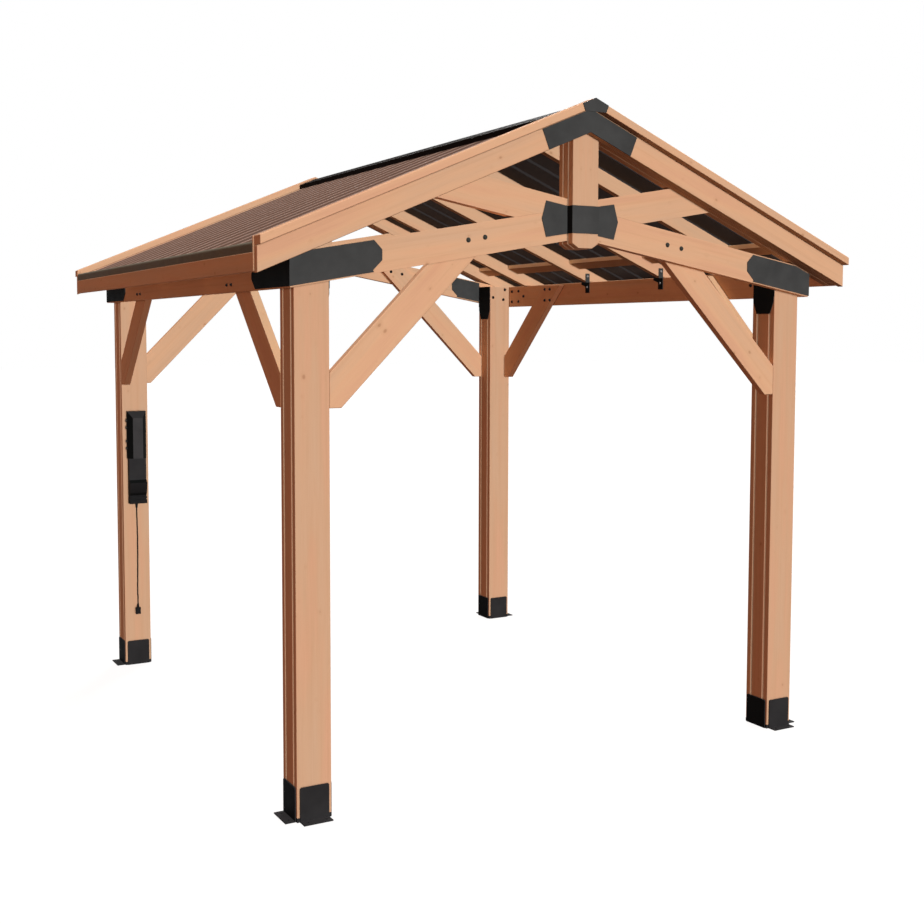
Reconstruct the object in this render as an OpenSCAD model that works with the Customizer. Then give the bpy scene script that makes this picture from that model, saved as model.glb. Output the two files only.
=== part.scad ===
// Open timber garden gazebo: four built-up posts, scissor gables and a pitched metal roof.
// Millimetres, +Z up, origin on the ground at the centre. The front gable faces -Y and the ridge runs along Y.

/* [Overall] */
// Width across the outer faces of the posts
span_x = 2640; // [2400:10:3000]
// Depth across the outer faces of the posts
span_y = 2778; // [2500:2:3100]
// Height of the side beams' undersides above the ground
beam_bottom = 2122; // [2000:2:2300]
// Roof rise for each run
pitch_rise = 5; // [4:0.25:6]
// Run that the roof's rise is given for
pitch_run = 12; // [10:0.5:14]

/* [Posts] */
// Width of a post along X
post_w = 150; // [130:1:170]
// Thickness of a post's front and rear boards
post_board_t = 28; // [20:1:36]
// Depth of the post's middle member along Y
post_mid_d = 72; // [50:1:90]
// Width of the shadow grooves beside the middle member
post_groove_w = 9; // [4:0.5:14]
// Depth of the shadow grooves
post_groove_d = 9; // [4:0.5:20]

/* [Frame timbers] */
// Face width of beams, ties, struts, braces and king posts
timber_w = 134; // [110:1:150]
// Thickness of ties, struts, braces and rafters
timber_t = 38; // [30:1:50]
// Thickness of the side beams
beam_t = 30; // [24:1:45]
// Slope of the ties and struts in degrees
tie_angle = 9.8; // [7:0.1:12]
// How far the struts' undersides cross above those of the ties at the middle
strut_lift = 20; // [5:1:40]
// Height of the braces' clipped feet above the ground
brace_foot = 1650; // [1500:1:1750]
// Length of the level clip on a brace's foot
brace_clip = 52; // [30:1:80]
// Gap between a brace's top and the top of what it is bolted to
brace_top_gap = 8; // [2:1:20]

/* [King posts] */
// How far the king posts hang below the ties
king_drop = 45; // [20:1:80]
// Thickness of the king posts' inner boards
king_inner_t = 28; // [20:1:40]
// Width of the king posts' shadow grooves
king_groove_w = 6; // [3:0.5:10]
// Depth of the king posts' shadow grooves
king_groove_d = 6; // [3:0.5:12]
// Width of the clipped lower corners
king_clip_w = 32; // [15:1:45]
// Height of the clipped lower corners
king_clip_h = 20; // [10:1:30]

/* [Roof timbers] */
// Overhang of the eaves past the posts
eave_overhang = 189; // [150:1:250]
// Depth of the rafters square to the slope
rafter_w = 70; // [60:1:90]
// How far the rafters are notched over the side beams
rafter_seat = 6; // [2:1:12]
// Distance between the inner rafters
rafter_pitch = 695; // [600:1:750]
// Depth of the barge boards square to the slope
barge_w = 95; // [85:1:120]
// Gap between the two boards of a gable rafter
gable_gap = 2; // [1:0.5:4]
// Thickness of the barge boards
barge_t = 32; // [24:1:40]
// Width of the trims along Y
trim_w = 67; // [50:1:90]
// Thickness of the trims square to the slope
trim_t = 34; // [24:1:45]
// Distance of the purlins' upper edges from the beams
purlin_back = 148; // [120:1:300]
// Width of the purlins along the slope
purlin_w = 84; // [60:1:100]
// Thickness of the purlins
purlin_t = 22; // [15:1:30]
// Thickness of the fascia boards
fascia_t = 24; // [18:1:30]
// How far the fascia boards stand past the barge boards' ends
fascia_proud = 4; // [2:1:12]
// How far the fascia boards hang below the rafters
fascia_drop = 2; // [0:1:20]

/* [Roof metal] */
// Thickness of the roof sheets
sheet_t = 3; // [2:0.5:5]
// Distance between the ribs of the roof sheets
rib_pitch = 177; // [150:1:220]
// Width of a rib at its foot
rib_w = 40; // [30:1:60]
// Width of a rib at its top
rib_top_w = 24; // [14:1:30]
// How far the ribs lie below the tops of the barge boards
sheet_drop = 2; // [0:0.5:6]
// Half width of the ridge cap
cap_half_w = 110; // [80:1:160]
// Height of the ridge cap above the ribs
cap_rise = 26; // [15:1:40]
// Thickness of the ridge cap
cap_t = 4; // [2:0.5:6]
// Depth of the drip edges along X
drip_d = 16; // [15:0.5:20]
// Height of the drip edges on the fascia boards
drip_h = 41; // [36:1:50]
// Radius of the drip edges' upper outer corners
drip_r = 14; // [8:0.5:15]
// Thickness of the end stops beside the drip edges
stop_t = 8; // [5:1:14]

/* [Steel plates] */
// Thickness of the steel plates
plate_t = 3; // [2:0.5:5]
// Inset of the corner plates from the edges of the timber
plate_inset = 5; // [2:1:10]
// Length of the corner plates along the ties
tie_plate_l = 396; // [300:1:450]
// Length of the corner plates along the side beams
beam_plate_l = 420; // [300:1:450]
// Length of the clipped ends of the corner plates
plate_clip = 42; // [25:1:60]
// Height of the straps on the posts below the side beams
strap_drop = 82; // [60:1:150]
// Inset of the straps from the posts' edges
strap_inset = 4; // [2:1:10]
// Height of a strap's tapered end
strap_taper_h = 60; // [40:1:80]
// Width of a strap's tapered end
strap_end_w = 90; // [60:1:110]
// Width of the chevron plates square to the slope
chevron_w = 90; // [60:1:92]
// Reach of the chevron plates from the middle
chevron_reach = 211; // [150:1:260]
// Reach of the peak caps from the middle
peak_cap_reach = 54; // [40:1:90]
// Reach of the bow-tie plates from the middle
bow_reach = 200; // [150:1:260]
// Height of the bow-tie plates at the king post
bow_waist_h = 118; // [90:1:124]
// Height of the bow-tie plates at their ends
bow_end_h = 154; // [130:1:180]
// Depth of the points at the bow-tie plates' ends
bow_point = 22; // [10:1:40]

/* [Rafter clips] */
// Width of the clips' legs
clip_w = 30; // [20:1:38]
// Length of the clips' legs on the side beams
clip_leg = 65; // [40:1:90]
// Length of the clips' legs on the rafters
clip_up = 54; // [40:1:60]
// Length of the clips' wings along the side beams
clip_wing_l = 41; // [20:1:60]
// Height of a wing at its end
clip_wing_h = 13; // [8:1:20]

/* [Feet] */
// Width of the foot brackets
foot_w = 126; // [100:1:128]
// Height of the foot brackets
foot_h = 141; // [100:1:170]
// Thickness of the base plates under the posts
base_t = 17; // [10:1:25]
// Length of the foot brackets' flanges
foot_flange = 46; // [36:1:60]
// Thickness of the foot brackets
foot_t = 5; // [3:0.5:8]
// Radius of the foot brackets' upper corners
foot_corner_r = 8; // [4:0.5:16]
// Radius of the anchor holes
anchor_r = 6; // [4:0.5:8]
// Distance between the two anchor holes of a flange
anchor_gap = 80; // [60:1:90]

/* [Power box] */
// Width of the upper housing
box_w = 110; // [90:1:118]
// Depth of the upper housing
box_d = 48; // [36:1:60]
// Height of the upper housing
box_h = 274; // [220:1:320]
// Height of the joint between the two housings above the ground
box_joint_z = 1219; // [1000:1:1400]
// Width of the upper housing's side bevels
bevel_w = 26; // [10:1:34]
// Height of the upper housing's top bevel
bevel_h = 38; // [10:1:60]
// Depth of all three bevels
bevel_d = 30; // [10:1:34]
// Distance of the power box from the post's outer face
box_margin = 24; // [16:1:28]
// Radius of the latches
latch_r = 7; // [4:0.5:9]
// Height of the latches above the upper housing's side
latch_h = 7; // [4:0.5:10]
// Distance between the two latches of a pair
latch_gap = 41; // [24:1:60]
// Height of the lower pair of latches above the joint
latch_low = 80; // [50:1:110]
// Height of the upper pair of latches above the joint
latch_high = 200; // [160:1:210]
// Inset of the lower housing from the upper one's sides
box_step = 5; // [2:1:10]
// Depth of the lower housing
outlet_d = 30; // [24:1:40]
// Height of the lower housing
outlet_h = 264; // [230:1:300]
// Depth of the lower housing's hood
hood_d = 50; // [42:1:60]
// Height of the hood
hood_h = 74; // [50:1:100]
// How far the hood's front leans back
hood_lean = 8; // [2:1:12]
// Height of the hood's sloping upper and lower ends
hood_nose = 16; // [8:1:22]
// Depth of the lips under the hood
lip_d = 42; // [34:1:50]
// Height of the lower lip
lip_h = 22; // [12:1:30]
// Height of the upper lip
lip_t = 10; // [6:1:16]
// Gap above each lip
lip_gap = 8; // [4:1:14]
// Radius of the cord's gland
gland_r = 8; // [6:0.5:10]
// Height of the cord's gland
gland_h = 26; // [20:1:40]
// How far the gland lies beside the middle of the lower housing
gland_shift = 6; // [0:1:20]
// Diameter of the cord
cord_d = 8; // [6:0.5:10]
// Width of the plug
plug_w = 27; // [22:1:32]
// Thickness of the plug
plug_t = 20; // [18:1:24]
// Height of the plug's body
plug_h = 38; // [30:1:50]
// Height of the plug's strain relief
relief_h = 24; // [20:1:40]

/* [Hidden] */
$fn = 48;

wood = "#dcab82";
steel = "#3c3c3d";
roof_brown = "#7c655a";
roof_black = "#1d1a19";
plastic = "#161616";

// Plan
px = span_x / 2;
py = span_y / 2;
post_d = 2 * post_board_t + 2 * post_groove_w + post_mid_d;
post_in_x = px - post_w;
post_in_y = py - post_d;
beam_out = px + beam_t;
beam_top = beam_bottom + timber_w;

// Layers of a gable along Y, from the posts' faces outwards
y_tie = py + timber_t;
y_ply = y_tie + timber_t;
y_barge = y_ply + barge_t;
y_trim = y_ply + trim_w;

// Heights on the ridge line, from which each sloping face falls away
pitch = atan2(pitch_rise, pitch_run);
fall = tan(pitch);
ridge_under = beam_top - rafter_seat + fall * px;
ridge_deck = ridge_under + rafter_w / cos(pitch);
ridge_barge = ridge_under + barge_w / cos(pitch);
ridge_trim = ridge_barge + trim_t / cos(pitch);
ridge_sheet = ridge_barge - sheet_drop;
sheet_h = (ridge_sheet - ridge_deck) * cos(pitch);
eave_x = px + eave_overhang;
fascia_out = eave_x + fascia_proud;
fascia_in = fascia_out - fascia_t;
fascia_top = ridge_deck - fall * (fascia_in + fascia_out) / 2;
drip_in = fascia_out - drip_d;
drip_end = y_ply - stop_t;

// Ties and struts
lean = tan(tie_angle);
timber_plumb = timber_w / cos(tie_angle);
tie_under = beam_bottom + lean * beam_out;
tie_over = tie_under + timber_plumb;
strut_under = tie_under + strut_lift;
strut_over = strut_under + timber_plumb;
king_half = timber_w / 2;
core_half = king_half - king_groove_d;
king_bottom = tie_under - king_drop;
bow_mid_z = (tie_under + strut_over) / 2;

// Braces stand at 45 degrees
brace_low = brace_foot - brace_clip;
brace_high = brace_low + timber_w * sqrt(2);

// Rows of rafters
rafter_ys = [for (i = [-1.5 : 1 : 1.5]) i * rafter_pitch];

// Power box on the rear left post
box_x = -px + box_margin + box_w / 2;
box_y = post_in_y;
outlet_bottom = box_joint_z - outlet_h;
cord_x = box_x - gland_shift;
cord_y = box_y - outlet_d / 2;
// Points of the hanging cord, as offsets from the gland's axis and heights above the ground
cord_route = [
    [0, 0, 929], [0, 0, 905], [0, 0, 881], [1, 0, 857], [1, 0, 833], [2, 0, 809], [2, 1, 785], [3, 1, 761],
    [3, 1, 737], [3, 2, 713], [3, 2, 689], [3, 2, 665], [3, 2, 641], [2, 2, 617], [2, 1, 593], [1, 1, 569],
    [1, 1, 545], [0, 0, 521], [0, 0, 497], [-1, 0, 473], [-1, 0, 449], [-1, 0, 425], [0, 0, 401], [0, 0, 381],
    [0, 0, 363]
];
plug_top = cord_route[len(cord_route) - 1][2];

function on_slope(ridge_z, x) = ridge_z - fall * abs(x);
function tie_line(z, x) = z - lean * abs(x);
function strut_line(z, x) = z + lean * abs(x);
// Where a line that falls from the middle meets one that rises or falls at another rate
function meet_x(high_z, high_fall, low_z, low_fall) = (high_z - low_z) / (high_fall - low_fall);

module side_x(s) {
    if (s > 0) children();
    else mirror([1, 0, 0]) children();
}

module side_y(s) {
    if (s > 0) children();
    else mirror([0, 1, 0]) children();
}

module both_x() {
    for (s = [-1, 1]) side_x(s) children();
}

module both_y() {
    for (s = [-1, 1]) side_y(s) children();
}

// An outline in X and Z, standing at y with a thickness along +Y
module upright_x(y, t) {
    translate([0, y + t, 0]) rotate([90, 0, 0]) linear_extrude(t) children();
}

// An outline in Y and Z, standing at x with a thickness along +X
module upright_y(x, t) {
    translate([x, 0, 0]) rotate([90, 0, 90]) linear_extrude(t) children();
}

// A board on the right slope with plumb ends, between two lines that fall from the ridge
module slope_outline(x0, x1, low_ridge, high_ridge) {
    polygon([
        [x0, on_slope(low_ridge, x0)], [x1, on_slope(low_ridge, x1)],
        [x1, on_slope(high_ridge, x1)], [x0, on_slope(high_ridge, x0)]
    ]);
}

// Posts

// Posts stand on the base plates of their feet
post_l = beam_top - base_t;

module post_core(sx, sy) {
    color(wood) side_x(sx) side_y(sy) {
        translate([post_in_x + post_groove_d, post_in_y + post_board_t, base_t])
            cube([post_w - 2 * post_groove_d, post_d - 2 * post_board_t, post_l]);
        translate([post_in_x, post_in_y + post_board_t + post_groove_w, base_t])
            cube([post_w, post_mid_d, post_l]);
    }
}

module post_boards(sx, sy) {
    color(wood) side_x(sx) side_y(sy)
        for (y = [post_in_y, py - post_board_t])
            translate([post_in_x, y, base_t]) cube([post_w, post_board_t, post_l]);
}

// Outline of a foot's upright, with rounded upper corners
module foot_outline() {
    translate([-foot_w / 2, 0]) square([foot_w, foot_h - foot_corner_r]);
    translate([foot_corner_r - foot_w / 2, 0]) square([foot_w - 2 * foot_corner_r, foot_h]);
    for (s = [-1, 1])
        translate([s * (foot_w / 2 - foot_corner_r), foot_h - foot_corner_r]) circle(foot_corner_r);
}

// An upright on the post's +X face
module foot_upright(face) {
    upright_y(face, foot_t) foot_outline();
}

// A flange on the ground, outside the post's +X face, with its anchor holes
module foot_flange(face) {
    reach = (foot_t + foot_flange) / 2;
    difference() {
        translate([face, -foot_w / 2, 0]) cube([foot_flange, foot_w, foot_t]);
        for (s = [-1, 1])
            translate([face + reach, s * anchor_gap / 2, -foot_t]) cylinder(r = anchor_r, h = 3 * foot_t);
    }
}

// A foot: a base plate under the post, an upright on each side and flanges on the two outer sides
module post_foot(sx, sy) {
    side_x(sx) side_y(sy) translate([px - post_w / 2, py - post_d / 2, 0]) {
        translate([-post_w / 2, -post_d / 2, 0]) cube([post_w, post_d, base_t]);
        for (a = [0, 180]) rotate([0, 0, a]) foot_upright(post_w / 2);
        for (a = [90, 270]) rotate([0, 0, a]) foot_upright(post_d / 2);
        foot_flange(post_w / 2);
        rotate([0, 0, 90]) foot_flange(post_d / 2);
    }
}

module feet(sy) {
    color(steel) for (sx = [-1, 1]) post_foot(sx, sy);
}

// Beams, ties and struts

module beam(sx) {
    color(wood) side_x(sx) translate([px, -py, beam_bottom]) cube([beam_t, span_y, timber_w]);
}

// A tie's outline, cut off along the rafters' undersides with a gap
module tie_outline(x0, x1, low, high, gap) {
    top = tie_under + high;
    x_cut = meet_x(ridge_under - gap, fall, top, lean);
    polygon([
        [x0, tie_line(tie_under + low, x0)], [x1, tie_line(tie_under + low, x1)],
        [x1, min(on_slope(ridge_under - gap, x1), tie_line(top, x1))],
        [min(x_cut, x1), tie_line(top, min(x_cut, x1))], [x0, tie_line(top, x0)]
    ]);
}

module ties(sy) {
    color(wood) side_y(sy) both_x()
        upright_x(py, timber_t) tie_outline(king_half, beam_out, 0, timber_plumb, 0);
}

module struts(sy) {
    x_heel = meet_x(tie_over, lean, strut_under, -lean);
    x_low = meet_x(ridge_under, fall, strut_under, -lean);
    x_high = meet_x(ridge_under, fall, strut_over, -lean);
    color(wood) side_y(sy) both_x() upright_x(py, timber_t) polygon([
        [king_half, tie_line(tie_over, king_half)], [x_heel, tie_line(tie_over, x_heel)],
        [x_low, strut_line(strut_under, x_low)], [x_high, strut_line(strut_over, x_high)],
        [king_half, strut_line(strut_over, king_half)]
    ]);
}

// King posts

// A king post's outline: clipped at the foot and peaked under the rafters
module king_outline(half) {
    inset = king_half - half;
    polygon([
        [-half, king_bottom + king_clip_h], [inset + king_clip_w - king_half, king_bottom],
        [king_half - king_clip_w - inset, king_bottom], [half, king_bottom + king_clip_h],
        [half, on_slope(ridge_under, half)], [0, ridge_under], [-half, on_slope(ridge_under, half)]
    ]);
}

// A king post's core: a full block and a spine that leaves shadow grooves in front of it and behind it
module king_core(sy) {
    color(wood) side_y(sy) {
        upright_x(py, timber_t + king_groove_w) king_outline(core_half);
        upright_x(py + king_groove_w, timber_t - king_groove_w) king_outline(king_half);
    }
}

module king_boards(sy) {
    color(wood) side_y(sy) {
        upright_x(y_tie + king_groove_w, timber_t - king_groove_w) king_outline(king_half);
        upright_x(py - king_inner_t, king_inner_t) king_outline(king_half);
    }
}

// Braces

// A brace's outline as distance along the wall and height: from a post's face towards the middle
module brace_outline(face, top_z, top_lean) {
    run_low = (brace_low + face - top_z) / (1 - top_lean);
    run_high = (brace_high + face - top_z) / (1 - top_lean);
    polygon([
        [face, brace_foot], [face, brace_high], [run_high, top_z - top_lean * run_high],
        [run_low, top_z - top_lean * run_low], [face - brace_clip, brace_foot]
    ]);
}

module gable_braces(sy) {
    color(wood) side_y(sy) both_x()
        upright_x(py - timber_t, timber_t) brace_outline(post_in_x, tie_over - brace_top_gap, lean);
}

module side_braces(sx) {
    color(wood) side_x(sx) both_y()
        upright_y(px - timber_t, timber_t) brace_outline(post_in_y, beam_top - brace_top_gap, 0);
}

// Roof timbers

// Gable rafters, each of two boards side by side
module gable_rafters(sx) {
    board_t = (y_ply - py - gable_gap) / 2;
    color(wood) side_x(sx) both_y() for (y = [py, y_ply - board_t])
        upright_x(y, board_t) slope_outline(0, fascia_in, ridge_under, ridge_deck);
}

module barge_boards(sx) {
    color(wood) side_x(sx) both_y()
        upright_x(y_ply, barge_t) slope_outline(0, eave_x, ridge_under, ridge_barge);
}

module trims(sx) {
    color(wood) side_x(sx) both_y()
        upright_x(y_ply, trim_w) slope_outline(0, eave_x, ridge_barge, ridge_trim);
}

// Inner rafters, notched over the side beam
module rafters(sx) {
    color(wood) side_x(sx) for (y = rafter_ys)
        upright_x(y - timber_t / 2, timber_t) difference() {
            slope_outline(0, fascia_in, ridge_under, ridge_deck);
            translate([post_in_x, 0]) square([beam_out - post_in_x, beam_top]);
        }
}

// Purlins between the rafters, flush with the rafters' tops
module purlins() {
    x0 = px - purlin_back;
    x1 = x0 + purlin_w * cos(pitch);
    starts = concat([-py], [for (y = rafter_ys) y + timber_t / 2]);
    ends = concat([for (y = rafter_ys) y - timber_t / 2], [py]);
    color(wood) both_x() for (i = [0 : len(starts) - 1])
        upright_x(starts[i], ends[i] - starts[i])
            slope_outline(x0, x1, ridge_deck - purlin_t / cos(pitch), ridge_deck);
}

// Fascia boards with an end stop beside each end of the drip edges
module fascia_boards() {
    low = on_slope(ridge_under, fascia_in) - fascia_drop;
    stop_top = on_slope(ridge_trim, eave_x);
    color(wood) both_x() {
        translate([fascia_in, -y_ply, low]) cube([fascia_t, 2 * y_ply, fascia_top - low]);
        both_y() translate([drip_in, drip_end, low]) cube([drip_d, stop_t, stop_top - low]);
    }
}

// Roof metal

// Section of a roof sheet across the slope: flat pans between hollow ribs that stand up
module sheet_section() {
    last = floor((y_ply - rib_w / 2) / rib_pitch);
    foot = rib_w / 2;
    top = rib_top_w / 2;
    ys = [for (i = [-last : last]) i * rib_pitch];
    upper = [for (y = ys) each [
        [y - foot, sheet_t], [y - top, sheet_h], [y + top, sheet_h], [y + foot, sheet_t]
    ]];
    lower = [for (y = ys) each [
        [-y + foot - sheet_t, 0], [-y + top - sheet_t, sheet_h - sheet_t],
        [-y - top + sheet_t, sheet_h - sheet_t], [-y - foot + sheet_t, 0]
    ]];
    polygon(concat([[-y_ply, 0], [-y_ply, sheet_t]], upper, [[y_ply, sheet_t], [y_ply, 0]], lower));
}

module roof_sheet(sx) {
    slope_l = (drip_in + 2 * sheet_h) / cos(pitch);
    color(roof_brown) side_x(sx) intersection() {
        translate([0, 0, ridge_deck]) rotate([0, 90 + pitch, 0]) rotate([0, 0, 90])
            translate([0, 0, -sheet_h]) linear_extrude(slope_l) sheet_section();
        translate([0, -y_ply, 0]) cube([drip_in, 2 * y_ply, ridge_trim]);
    }
}

// Drip edges on the fascia boards, against the roof sheets' ends, with rounded upper corners
module drip_edges() {
    color(roof_brown) both_x() upright_x(-drip_end, 2 * drip_end) translate([drip_in, fascia_top]) {
        square([drip_d, drip_h - drip_r]);
        square([drip_d - drip_r, drip_h]);
        translate([drip_d - drip_r, drip_h - drip_r]) intersection() {
            circle(drip_r);
            square(drip_r);
        }
    }
}

// Ridge cap: a bent sheet with edges that stand on the roof sheets
module ridge_cap() {
    inner = cap_half_w - cap_t;
    top = ridge_sheet + cap_rise;
    lining = top - cap_t / cos(pitch);
    color(roof_black) upright_x(-y_ply, 2 * y_ply) polygon([
        [0, top], [cap_half_w, on_slope(top, cap_half_w)], [cap_half_w, on_slope(ridge_sheet, cap_half_w)],
        [inner, on_slope(ridge_sheet, inner)], [inner, on_slope(lining, inner)], [0, lining],
        [-inner, on_slope(lining, inner)], [-inner, on_slope(ridge_sheet, inner)],
        [-cap_half_w, on_slope(ridge_sheet, cap_half_w)], [-cap_half_w, on_slope(top, cap_half_w)]
    ]);
}

// Steel plates

// Outline of a corner plate's leg on a tie, with a clipped inner end, from x0 to x1
module tie_plate_outline(x0, x1) {
    difference() {
        tie_outline(x0, x1, plate_inset, timber_plumb - plate_inset, plate_inset);
        for (side = [0, 1])
            translate([x0, tie_line(side ? tie_over - plate_inset : tie_under + plate_inset, x0)])
                rotate(45) square(plate_clip * sqrt(2), center = true);
    }
}

module beam_plate_outline() {
    low = beam_bottom + plate_inset;
    high = on_slope(ridge_under, beam_out) - plate_inset;
    y0 = y_tie + plate_t - beam_plate_l;
    y1 = y_tie + plate_t;
    polygon([
        [y0, low + plate_clip], [y0 + plate_clip, low], [y1, low],
        [y1, high], [y0 + plate_clip, high], [y0, high - plate_clip]
    ]);
}

// Outside plates that wrap each corner, from the tie's face onto the side beam
module corner_plates() {
    x1 = beam_out + plate_t;
    color(steel) both_x() both_y() {
        upright_x(y_tie, plate_t) tie_plate_outline(x1 - tie_plate_l, x1);
        upright_y(beam_out, plate_t) beam_plate_outline();
    }
}

// Inside brackets: a strap on the post's inner face and a leg on the back of the tie
module inner_brackets() {
    mid = py - post_d / 2;
    half = post_d / 2 - strap_inset;
    low = beam_bottom - strap_drop;
    color(steel) both_x() both_y() {
        upright_y(post_in_x - plate_t, plate_t) polygon([
            [mid - strap_end_w / 2, low], [mid + strap_end_w / 2, low], [mid + half, low + strap_taper_h],
            [mid + half, beam_bottom], [py, beam_bottom], [py, beam_top], [mid - half, beam_top],
            [mid - half, low + strap_taper_h]
        ]);
        upright_x(py - plate_t, plate_t)
            tie_plate_outline(beam_out + plate_t - tie_plate_l, post_in_x);
    }
}

// Bow-tie plates: wings on the ties and struts, bent round the king post's outer board
module bow_tie_plates() {
    outer = king_half + plate_t;
    color(steel) both_y() {
        upright_x(y_ply, plate_t) translate([0, bow_mid_z]) square([2 * outer, bow_waist_h], center = true);
        both_x() {
            translate([king_half, y_tie, bow_mid_z - bow_waist_h / 2])
                cube([plate_t, y_ply + plate_t - y_tie, bow_waist_h]);
            upright_x(y_tie, plate_t) translate([0, bow_mid_z]) polygon([
                [king_half, -bow_waist_h / 2], [bow_reach - bow_point, -bow_end_h / 2], [bow_reach, 0],
                [bow_reach - bow_point, bow_end_h / 2], [king_half, bow_waist_h / 2]
            ]);
        }
    }
}

// A bent plate over the peak: the lower edge falls from low_ridge and the ends are square to the slope
module peak_outline(low_ridge, width, reach) {
    reach_top = reach + width * sin(pitch);
    polygon([
        [0, low_ridge], [reach, on_slope(low_ridge, reach)],
        [reach_top, on_slope(low_ridge, reach) + width * cos(pitch)], [0, low_ridge + width / cos(pitch)],
        [-reach_top, on_slope(low_ridge, reach) + width * cos(pitch)], [-reach, on_slope(low_ridge, reach)]
    ]);
}

module chevron_plates() {
    color(steel) both_y() upright_x(y_barge, plate_t) peak_outline(ridge_under, chevron_w, chevron_reach);
}

// Peak caps: bent like the plates behind them, with a straight lower edge
module peak_caps() {
    low = on_slope(ridge_barge, peak_cap_reach);
    color(steel) both_y() upright_x(y_trim, plate_t) {
        peak_outline(ridge_barge, trim_t, peak_cap_reach);
        polygon([[-peak_cap_reach, low], [peak_cap_reach, low], [0, ridge_barge]]);
    }
}

// Clips that tie the two middle rafters to each side beam, with a tapered wing along the beam
module rafter_clips() {
    color(steel) both_x() for (y = [rafter_ys[1], rafter_ys[2]]) {
        face = y - timber_t / 2;
        wing = y + timber_t / 2;
        upright_y(px - plate_t, plate_t) polygon([
            [face - plate_t, beam_top - clip_leg], [wing, beam_top - clip_leg],
            [wing, beam_top - 2 * clip_wing_h], [wing + clip_wing_l, beam_top - clip_wing_h],
            [wing + clip_wing_l, beam_top], [face - plate_t, beam_top]
        ]);
        translate([px - clip_w, face - plate_t, beam_top - plate_t]) cube([clip_w, plate_t, clip_up]);
    }
}

// Power box on the rear left post

// Side view of the upper housing, with a bevelled top, as depth and height
module housing_side() {
    top = box_joint_z + box_h;
    polygon([
        [box_y, box_joint_z], [box_y - box_d, box_joint_z], [box_y - box_d, top - bevel_h],
        [box_y - box_d + bevel_d, top], [box_y, top]
    ]);
}

// Plan of the upper housing, with bevelled sides
module housing_plan() {
    half = box_w / 2;
    wall = box_y - box_d + bevel_d;
    polygon([
        [-half, box_y], [-half, wall], [bevel_w - half, box_y - box_d], [half - bevel_w, box_y - box_d],
        [half, wall], [half, box_y]
    ]);
}

// Side view of the lower housing: a hood over two lips
module outlet_side() {
    lip_top = outlet_bottom + lip_h;
    lip2_low = lip_top + lip_gap;
    lip2_top = lip2_low + lip_t;
    hood_low = lip2_top + lip_gap;
    hood_top = hood_low + hood_h;
    polygon([for (p = [
        [0, outlet_bottom], [lip_d, outlet_bottom], [lip_d, lip_top], [outlet_d, lip_top], [outlet_d, lip2_low],
        [lip_d, lip2_low], [lip_d, lip2_top], [outlet_d, lip2_top], [outlet_d, hood_low],
        [hood_d - hood_lean, hood_low + hood_nose], [hood_d, hood_top], [outlet_d, hood_top + hood_nose],
        [outlet_d, box_joint_z], [0, box_joint_z]
    ]) [box_y - p[0], p[1]]]);
}

module power_box() {
    lower_w = box_w - 2 * box_step;
    latch_y = box_y - (box_d - bevel_d) / 2;
    color(plastic) {
        intersection() {
            upright_y(box_x - box_w / 2, box_w) housing_side();
            translate([box_x, 0, box_joint_z]) linear_extrude(box_h) housing_plan();
        }
        for (z = [latch_low, latch_high], s = [-1, 1])
            translate([box_x - box_w / 2, latch_y, box_joint_z + z + s * latch_gap / 2])
                rotate([0, -90, 0]) cylinder(r = latch_r, h = latch_h);
        upright_y(box_x - lower_w / 2, lower_w) outlet_side();
        translate([cord_x, cord_y, outlet_bottom - gland_h])
            cylinder(r1 = gland_r * 0.75, r2 = gland_r, h = gland_h);
    }
}

// A round tube swept along the cord's points
module power_cord() {
    sides = 10;
    r = cord_d / 2;
    n = len(cord_route);
    rings = [for (p = cord_route) for (i = [0 : sides - 1])
        [cord_x + p[0] + r * cos(360 * i / sides), cord_y + p[1] + r * sin(360 * i / sides), p[2]]];
    walls = [for (k = [0 : n - 2]) for (i = [0 : sides - 1])
        let (j = (i + 1) % sides, a = k * sides, b = a + sides) [a + i, a + j, b + j, b + i]];
    top = [for (i = [sides - 1 : -1 : 0]) i];
    bottom = [for (i = [0 : sides - 1]) (n - 1) * sides + i];
    color(plastic) polyhedron(points = rings, faces = concat([top], walls, [bottom]));
}

// The plug hangs on the cord by its tapered strain relief
module power_plug() {
    body_top = plug_top - relief_h;
    color(plastic) {
        translate([cord_x - plug_w / 2, cord_y - plug_t / 2, body_top - plug_h]) cube([plug_w, plug_t, plug_h]);
        translate([cord_x, cord_y, body_top]) cylinder(r1 = cord_d, r2 = cord_d * 0.6, h = relief_h);
    }
}

post_core(-1, -1);  // front_left_post_core
post_boards(-1, -1);  // front_left_post_boards
post_core(1, -1);  // front_right_post_core
post_boards(1, -1);  // front_right_post_boards
post_core(-1, 1);  // rear_left_post_core
post_boards(-1, 1);  // rear_left_post_boards
post_core(1, 1);  // rear_right_post_core
post_boards(1, 1);  // rear_right_post_boards
feet(-1);  // front_feet
feet(1);  // rear_feet
beam(-1);  // left_beam
beam(1);  // right_beam
ties(-1);  // front_ties
ties(1);  // rear_ties
struts(-1);  // front_struts
struts(1);  // rear_struts
king_core(-1);  // front_king_core
king_boards(-1);  // front_king_boards
king_core(1);  // rear_king_core
king_boards(1);  // rear_king_boards
gable_braces(-1);  // front_gable_braces
gable_braces(1);  // rear_gable_braces
side_braces(-1);  // left_side_braces
side_braces(1);  // right_side_braces
gable_rafters(-1);  // left_gable_rafters
gable_rafters(1);  // right_gable_rafters
barge_boards(-1);  // left_barge_boards
barge_boards(1);  // right_barge_boards
trims(-1);  // left_trims
trims(1);  // right_trims
rafters(-1);  // left_rafters
rafters(1);  // right_rafters
purlins();
fascia_boards();
roof_sheet(-1);  // left_roof_sheet
roof_sheet(1);  // right_roof_sheet
drip_edges();
ridge_cap();
corner_plates();
inner_brackets();
bow_tie_plates();
chevron_plates();
peak_caps();
rafter_clips();
power_box();
power_cord();
power_plug();
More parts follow.
